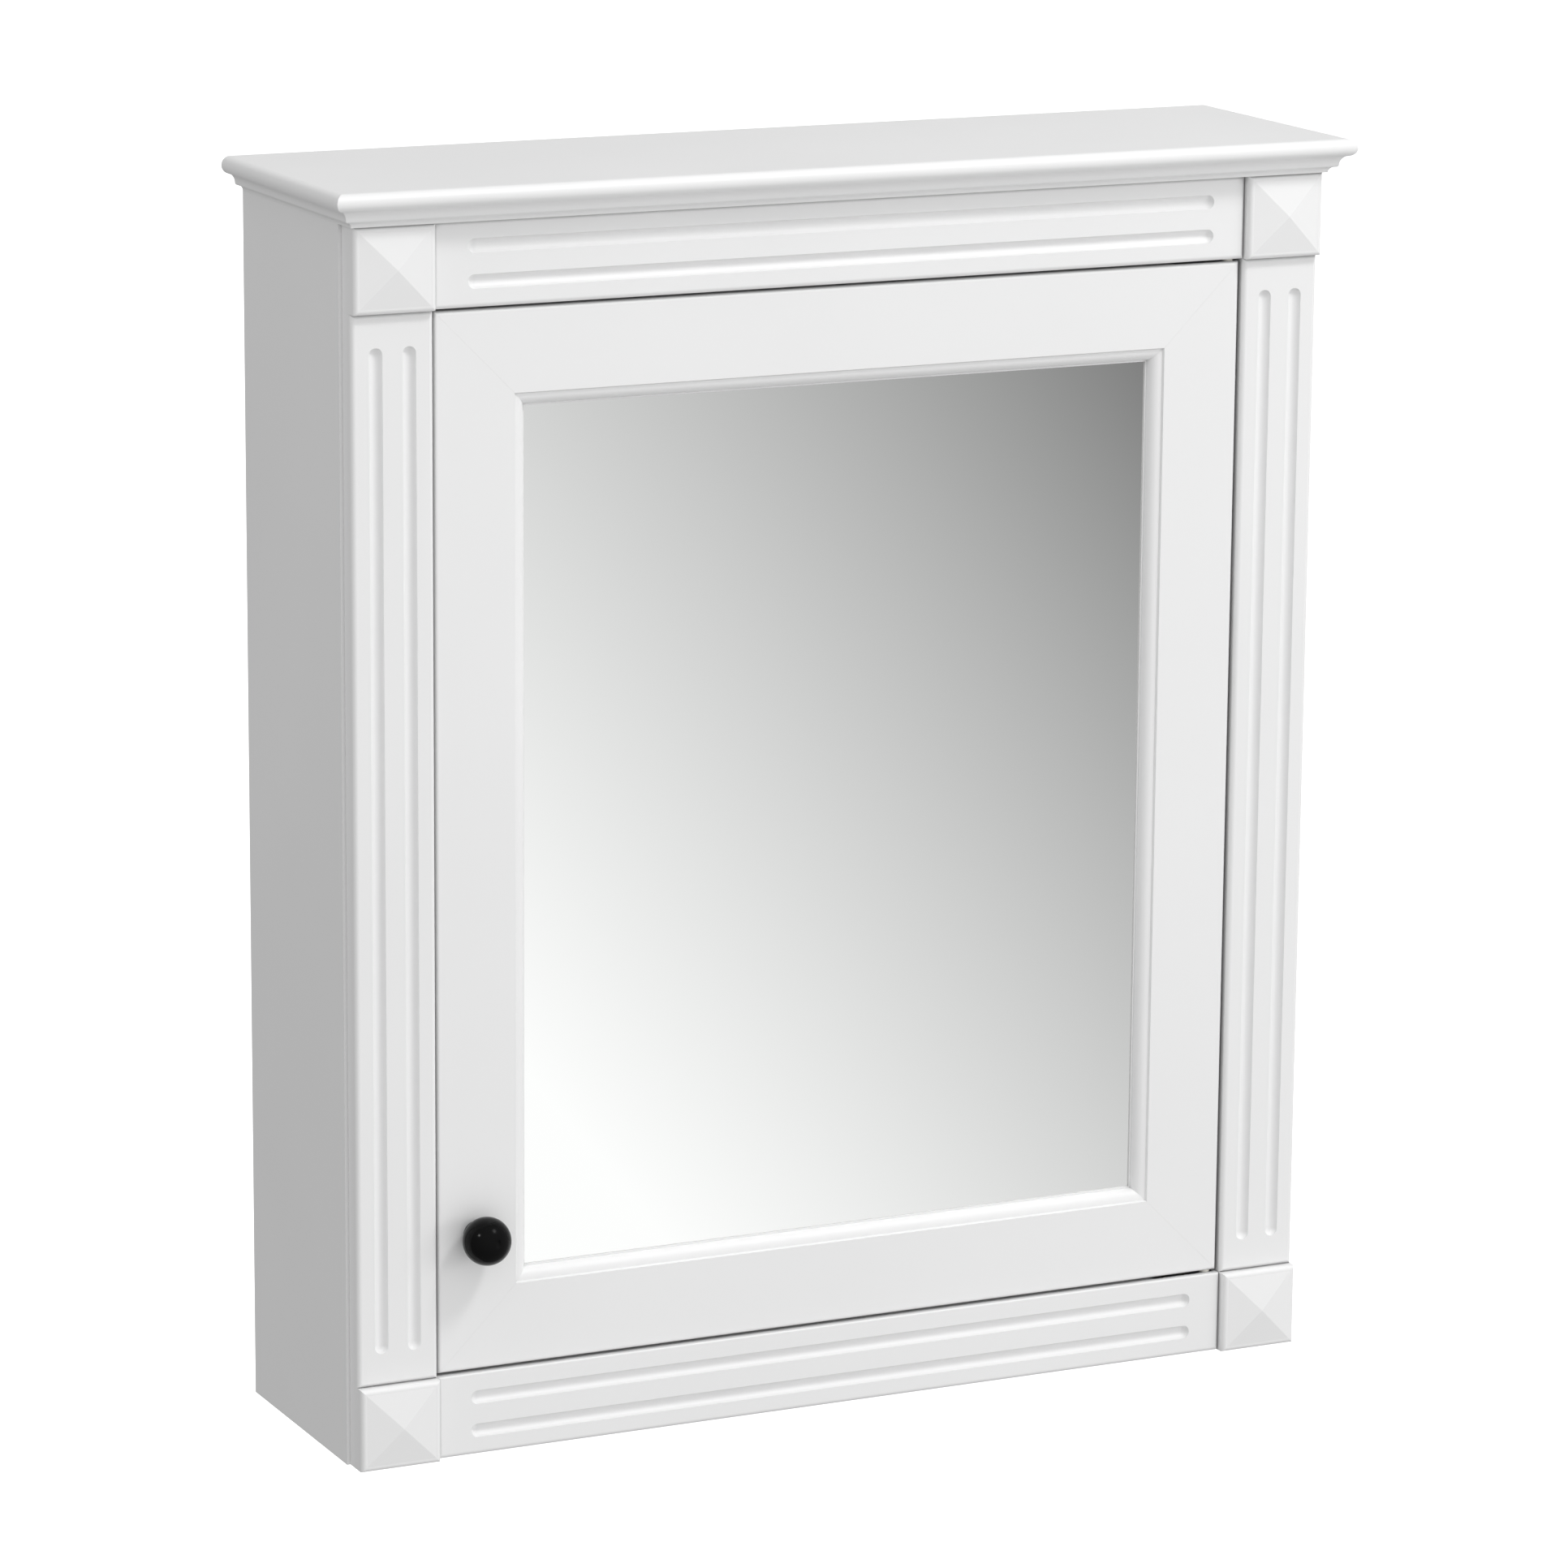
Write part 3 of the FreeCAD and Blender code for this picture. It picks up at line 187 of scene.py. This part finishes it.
def faced_hardboard(tree):
    """Hardboard with a white face towards the inside, and the brown screen pattern of the press
    behind."""
    place = add(tree, "TexCoord", out="Object")
    facing = add(tree, "TexCoord", out="Normal")
    across = add(tree, "SeparateXYZ", {"Vector": facing}, out="Y")
    inside = add(
        tree,
        "MapRange",
        {"Value": across, "From Min": -0.9, "From Max": -0.8, "To Min": 1, "To Max": 0},
    )
    fibre = add(
        tree, "TexNoise", {"Vector": place, "Scale": per(3), "Detail": 6, "Roughness": 0.7}
    )
    wires = {"Vector": place, "Scale": per(1.6) / math.tau, "Distortion": 0.4}
    along = add(tree, "TexWave", wires, out="Fac", bands_direction="X")
    up = add(tree, "TexWave", wires, out="Fac", bands_direction="Z")
    screen = add(tree, "Math", {"Value": along, "Value_001": up}, operation="MULTIPLY")
    brown = add(
        tree,
        "Mix",
        {"Factor_Float": fibre, "A_Color": linear("#4a3323"), "B_Color": linear("#8a6a4c")},
        data_type="RGBA",
    )
    colour = add(
        tree,
        "Mix",
        {"Factor_Float": inside, "A_Color": brown, "B_Color": linear("#efefee")},
        data_type="RGBA",
    )
    gloss = add(tree, "MapRange", {"Value": inside, "To Min": 0.8, "To Max": 0.45})
    relief = add(tree, "Bump", {"Height": screen, "Distance": 0.1 * MM, "Strength": 0.6})
    return add(
        tree, "BsdfPrincipled", {"Base Color": colour, "Roughness": gloss, "Normal": relief}
    )


def raw_beech(tree):
    """Planed beech, unfinished: pale pink-brown, straight grain along the length, short dark
    flecks."""
    place = add(tree, "TexCoord", out="Object")
    drawn = add(tree, "Mapping", {"Vector": place, "Scale": (0.04, 1, 1)})
    grain = add(
        tree, "TexNoise", {"Vector": drawn, "Scale": per(2.2), "Detail": 5, "Distortion": 0.3}
    )
    drawn_short = add(tree, "Mapping", {"Vector": place, "Scale": (0.35, 1, 1)})
    fleck = add(tree, "TexVoronoi", {"Vector": drawn_short, "Scale": per(1.4)}, out="Distance")
    dark = add(
        tree,
        "MapRange",
        {"Value": fleck, "From Min": 0.05, "From Max": 0.25, "To Min": 0.5, "To Max": 0},
    )
    wood = add(
        tree,
        "Mix",
        {"Factor_Float": grain, "A_Color": linear("#b98b5e"), "B_Color": linear("#dcb68c")},
        data_type="RGBA",
    )
    colour = add(
        tree,
        "Mix",
        {"Factor_Float": dark, "A_Color": wood, "B_Color": linear("#94663f")},
        data_type="RGBA",
    )
    relief = add(tree, "Bump", {"Height": grain, "Distance": 0.05 * MM, "Strength": 0.5})
    gloss = add(tree, "MapRange", {"Value": grain, "To Min": 0.55, "To Max": 0.75})
    return add(
        tree, "BsdfPrincipled", {"Base Color": colour, "Roughness": gloss, "Normal": relief}
    )


def zinc_plated_steel(tree):
    """Pressed steel, bright zinc plated: a cool silver with fine rolling lines and cloudy
    patches."""
    place = add(tree, "TexCoord", out="Object")
    drawn = add(tree, "Mapping", {"Vector": place, "Scale": (1, 1, 0.05)})
    lines = add(tree, "TexNoise", {"Vector": drawn, "Scale": per(0.35), "Detail": 3})
    cloud = add(tree, "TexNoise", {"Vector": place, "Scale": per(6), "Detail": 3})
    colour = add(
        tree,
        "Mix",
        {"Factor_Float": cloud, "A_Color": linear("#b4b6ba"), "B_Color": linear("#d9dadc")},
        data_type="RGBA",
    )
    gloss = add(tree, "MapRange", {"Value": lines, "To Min": 0.22, "To Max": 0.42})
    rounded = add(tree, "Bevel", {"Radius": 0.2 * MM}, samples=4)
    relief = add(
        tree, "Bump", {"Height": lines, "Distance": 0.008 * MM, "Strength": 0.6, "Normal": rounded}
    )
    return add(
        tree,
        "BsdfPrincipled",
        {"Base Color": colour, "Metallic": 1.0, "Roughness": gloss, "Normal": relief},
    )


def zinc_screw_steel(tree):
    """Screws of hardened steel in bright zinc, with a faint yellow cloud over the silver."""
    place = add(tree, "TexCoord", out="Object")
    cloud = add(tree, "TexNoise", {"Vector": place, "Scale": per(1.5), "Detail": 3})
    colour = add(
        tree,
        "Mix",
        {"Factor_Float": cloud, "A_Color": linear("#bdb9a8"), "B_Color": linear("#d8d6cc")},
        data_type="RGBA",
    )
    gloss = add(tree, "MapRange", {"Value": cloud, "To Min": 0.2, "To Max": 0.38})
    rounded = add(tree, "Bevel", {"Radius": 0.15 * MM}, samples=4)
    return add(
        tree,
        "BsdfPrincipled",
        {"Base Color": colour, "Metallic": 1.0, "Roughness": gloss, "Normal": rounded},
    )


def natural_nylon(tree):
    """Moulded nylon: milky off-white with a soft sheen."""
    place = add(tree, "TexCoord", out="Object")
    cloud = add(tree, "TexNoise", {"Vector": place, "Scale": per(2), "Detail": 3})
    colour = add(
        tree,
        "Mix",
        {"Factor_Float": cloud, "A_Color": linear("#dedbd0"), "B_Color": linear("#ebe9e1")},
        data_type="RGBA",
    )
    gloss = add(tree, "MapRange", {"Value": cloud, "To Min": 0.38, "To Max": 0.5})
    return add(tree, "BsdfPrincipled", {"Base Color": colour, "Roughness": gloss, "IOR": 1.53})


def moulded_white_plastic(tree):
    """Moulded ABS of the catch: even white with a fine spark texture from the mould."""
    place = add(tree, "TexCoord", out="Object")
    spark = add(tree, "TexVoronoi", {"Vector": place, "Scale": per(0.4)}, out="Distance")
    colour = add(
        tree,
        "Mix",
        {"Factor_Float": spark, "A_Color": linear("#e2e2df"), "B_Color": linear("#ececea")},
        data_type="RGBA",
    )
    gloss = add(tree, "MapRange", {"Value": spark, "To Min": 0.4, "To Max": 0.55})
    rounded = add(tree, "Bevel", {"Radius": 0.3 * MM}, samples=4)
    relief = add(
        tree, "Bump", {"Height": spark, "Distance": 0.02 * MM, "Strength": 0.4, "Normal": rounded}
    )
    return add(
        tree,
        "BsdfPrincipled",
        {"Base Color": colour, "Roughness": gloss, "IOR": 1.53, "Normal": relief},
    )


def sintered_ferrite(tree):
    """Sintered ferrite: dull charcoal, grainy where it was ground."""
    place = add(tree, "TexCoord", out="Object")
    grit = add(tree, "TexNoise", {"Vector": place, "Scale": per(0.3), "Detail": 4})
    colour = add(
        tree,
        "Mix",
        {"Factor_Float": grit, "A_Color": linear("#1c1c1e"), "B_Color": linear("#3c3c3f")},
        data_type="RGBA",
    )
    gloss = add(tree, "MapRange", {"Value": grit, "To Min": 0.5, "To Max": 0.75})
    relief = add(tree, "Bump", {"Height": grit, "Distance": 0.02 * MM, "Strength": 0.5})
    return add(
        tree, "BsdfPrincipled", {"Base Color": colour, "Roughness": gloss, "Normal": relief}
    )


def finish_nodes():
    """Gives every CAD node the finish of its material slot."""
    finishes = {
        "painted_mdf": satin_lacquer_and_painted_shade,
        "mirror": silvered_float_glass,
        "black_enamel": black_enamel,
        "hardboard": faced_hardboard,
        "beech": raw_beech,
        "steel": zinc_plated_steel,
        "zinc_screw": zinc_screw_steel,
        "nylon": natural_nylon,
        "catch_plastic": moulded_white_plastic,
        "ferrite": sintered_ferrite,
    }
    made = {slot: material(build) for slot, build in finishes.items()}
    for part in frame["record"]["subparts"]:
        node = frame["nodes"][part["node"]]
        node.data.materials.clear()
        node.data.materials.append(made[part["material_slot"]])


# ---------------------------------------------------------------- studio


def studio_white(tree):
    """Seamless white card, lit to full white, with the faintest mottle of paper."""
    place = add(tree, "TexCoord", out="Object")
    mottle = add(tree, "TexNoise", {"Vector": place, "Scale": per(400), "Detail": 2})
    colour = add(
        tree,
        "Mix",
        {"Factor_Float": mottle, "A_Color": linear("#f4f4f4"), "B_Color": linear("#fafafa")},
        data_type="RGBA",
    )
    return add(
        tree,
        "BsdfPrincipled",
        {
            "Base Color": colour,
            "Roughness": 0.9,
            "Emission Color": linear("#ffffff"),
            "Emission Strength": 0.75,
        },
    )


def graded_card(tree):
    """A studio card that runs from white at its low left corner to grey at its high right one."""
    place = add(tree, "TexCoord", out="Generated")
    turned = add(tree, "SeparateXYZ", {"Vector": place}, out="X")
    raised = add(tree, "SeparateXYZ", {"Vector": place}, out="Y")
    corner = add(tree, "Math", {"Value": turned, "Value_001": raised}, operation="ADD")
    grade = add(
        tree,
        "MapRange",
        {"Value": corner, "From Min": 0.43, "From Max": 1.75, "To Min": 1.06, "To Max": 0.23},
    )
    return add(tree, "Emission", {"Strength": grade})


def mesh_object(name, corners, faces):
    """An object with a mesh of these corners and faces, in metres."""
    mesh = bpy.data.meshes.new(name)
    made = bmesh.new()
    points = [made.verts.new(corner) for corner in corners]
    for face in faces:
        made.faces.new([points[i] for i in face])
    made.to_mesh(mesh)
    made.free()
    placed = bpy.data.objects.new(name, mesh)
    bpy.context.scene.collection.objects.link(placed)
    return placed


def floor():
    """A wide pale floor well below the cabinet. It leaves the cabinet's own shades to the lamps."""
    drop = 0.9
    reach = 60
    level = Vector(cad_box[0]).z - drop
    turns = ((-1, -1), (1, -1), (1, 1), (-1, 1))
    corners = [(reach * x, reach * y, level) for x, y in turns]
    ground = mesh_object("floor", corners, [(0, 1, 2, 3)])
    ground.data.materials.append(material(studio_white))
    ground.visible_diffuse = False
    ground.visible_glossy = False


def mirror_card():
    """The card that the mirror shows from the camera's side, in front of the cabinet and to its
    right."""
    distance = 1.2
    spare = 0.15
    low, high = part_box("mirror_glass")
    eye = CAMERA_PLACE
    seen_from = Vector((eye.x, 2 * low.y - eye.y, eye.z))
    corners = []
    for x, z in ((low.x, low.z), (high.x, low.z), (high.x, high.z), (low.x, high.z)):
        glass = Vector((x, low.y, z))
        ray = glass - seen_from
        corners.append(glass + ray * (distance / -ray.y))
    card = mesh_object("mirror_card", [(0, 0, 0), (1, 0, 0), (1, 1, 0), (0, 1, 0)], [(0, 1, 2, 3)])
    side = corners[1] - corners[0]
    rise = corners[3] - corners[0]
    card.matrix_world = Matrix(
        (
            (*[v * (1 + 2 * spare) for v in side], 0),
            (*[v * (1 + 2 * spare) for v in rise], 0),
            (*side.cross(rise).normalized(), 0),
            (*(corners[0] - spare * (side + rise)), 1),
        )
    ).transposed()
    card.data.materials.append(material(graded_card))
    card.visible_camera = False
    card.visible_diffuse = False
    card.visible_shadow = False
    card.visible_transmission = False


# Each lamp's way from the cabinet, its distance and the soft box's width in metres, its power in
# watts, and whether it shows only in the gloss.
LAMPS = {
    "key_light": ((0.33, -0.52, 0.79), 3.1, 0.5, 27, False),
    "right_light": ((0.74, -0.65, 0.13), 4, 1.3, 18, False),
    "left_light": ((-0.83, -0.08, 0.55), 1.5, 0.3, 0.8, False),
    "key_gloss": ((0.33, -0.52, 0.79), 3.1, 0.4, 40, True),
    "left_gloss": ((-0.83, -0.3, 0.55), 3, 0.4, 8, True),
}


def lamp(name, place, width, power, aim, gloss_only):
    """A square soft box aimed at a point. It shows only in the gloss, or only lights the colour."""
    light = bpy.data.lights.new(name, "AREA")
    light.shape = "RECTANGLE"
    light.size = light.size_y = width
    light.energy = power
    placed = bpy.data.objects.new(name, light)
    placed.location = place
    placed.rotation_euler = (aim - Vector(place)).to_track_quat("-Z", "Y").to_euler()
    placed.visible_diffuse = not gloss_only
    placed.visible_glossy = gloss_only
    bpy.context.scene.collection.objects.link(placed)


def lights():
    """The lamps, with the key high on the right, and a dome that is brighter towards the key."""
    low, high = (Vector(corner) for corner in cad_box)
    middle = (low + high) / 2
    for name, (way, distance, width, power, gloss_only) in LAMPS.items():
        lamp(name, middle + Vector(way) * distance, width, power, middle, gloss_only)
    world = bpy.data.worlds.new("studio")
    bpy.context.scene.world = world
    world.use_nodes = True
    tree = world.node_tree
    tree.nodes.clear()
    facing = add(tree, "TexCoord", out="Generated")
    towards = Vector((0.066, -0.288, 0.22)).normalized()
    lean = add(
        tree,
        "VectorMath",
        {"Vector": facing, "Vector_001": towards},
        out="Value",
        operation="DOT_PRODUCT",
    )
    glow = add(
        tree,
        "MapRange",
        {"Value": lean, "From Min": -1.0, "From Max": 1.0, "To Min": 0.292, "To Max": 1.028},
    )
    sky = add(tree, "Background", {"Strength": glow})
    add(tree, "OutputWorld", {"Surface": sky})


CAMERA_PLACE = Vector((-1.5351, -3.3051, 0.5262))


def camera():
    """A long lens from the cabinet's left, a little above it."""
    heading = math.radians(-25.109)
    dip = math.radians(13.067)
    roll = math.radians(0.389)
    lens = bpy.data.cameras.new("camera")
    lens.lens = 152.25
    lens.sensor_width = 36
    lens.shift_x = 0.0214
    lens.shift_y = 0.0162
    lens.clip_end = 200
    placed = bpy.data.objects.new("camera", lens)
    placed.matrix_world = (
        Matrix.Translation(CAMERA_PLACE)
        @ Matrix.Rotation(heading, 4, "Z")
        @ Matrix.Rotation(math.pi / 2 - dip, 4, "X")
        @ Matrix.Rotation(roll, 4, "Z")
    )
    bpy.context.scene.collection.objects.link(placed)
    bpy.context.scene.camera = placed


finish_nodes()
floor()
mirror_card()
lights()
camera()
bpy.context.scene.view_settings.view_transform = "Standard"
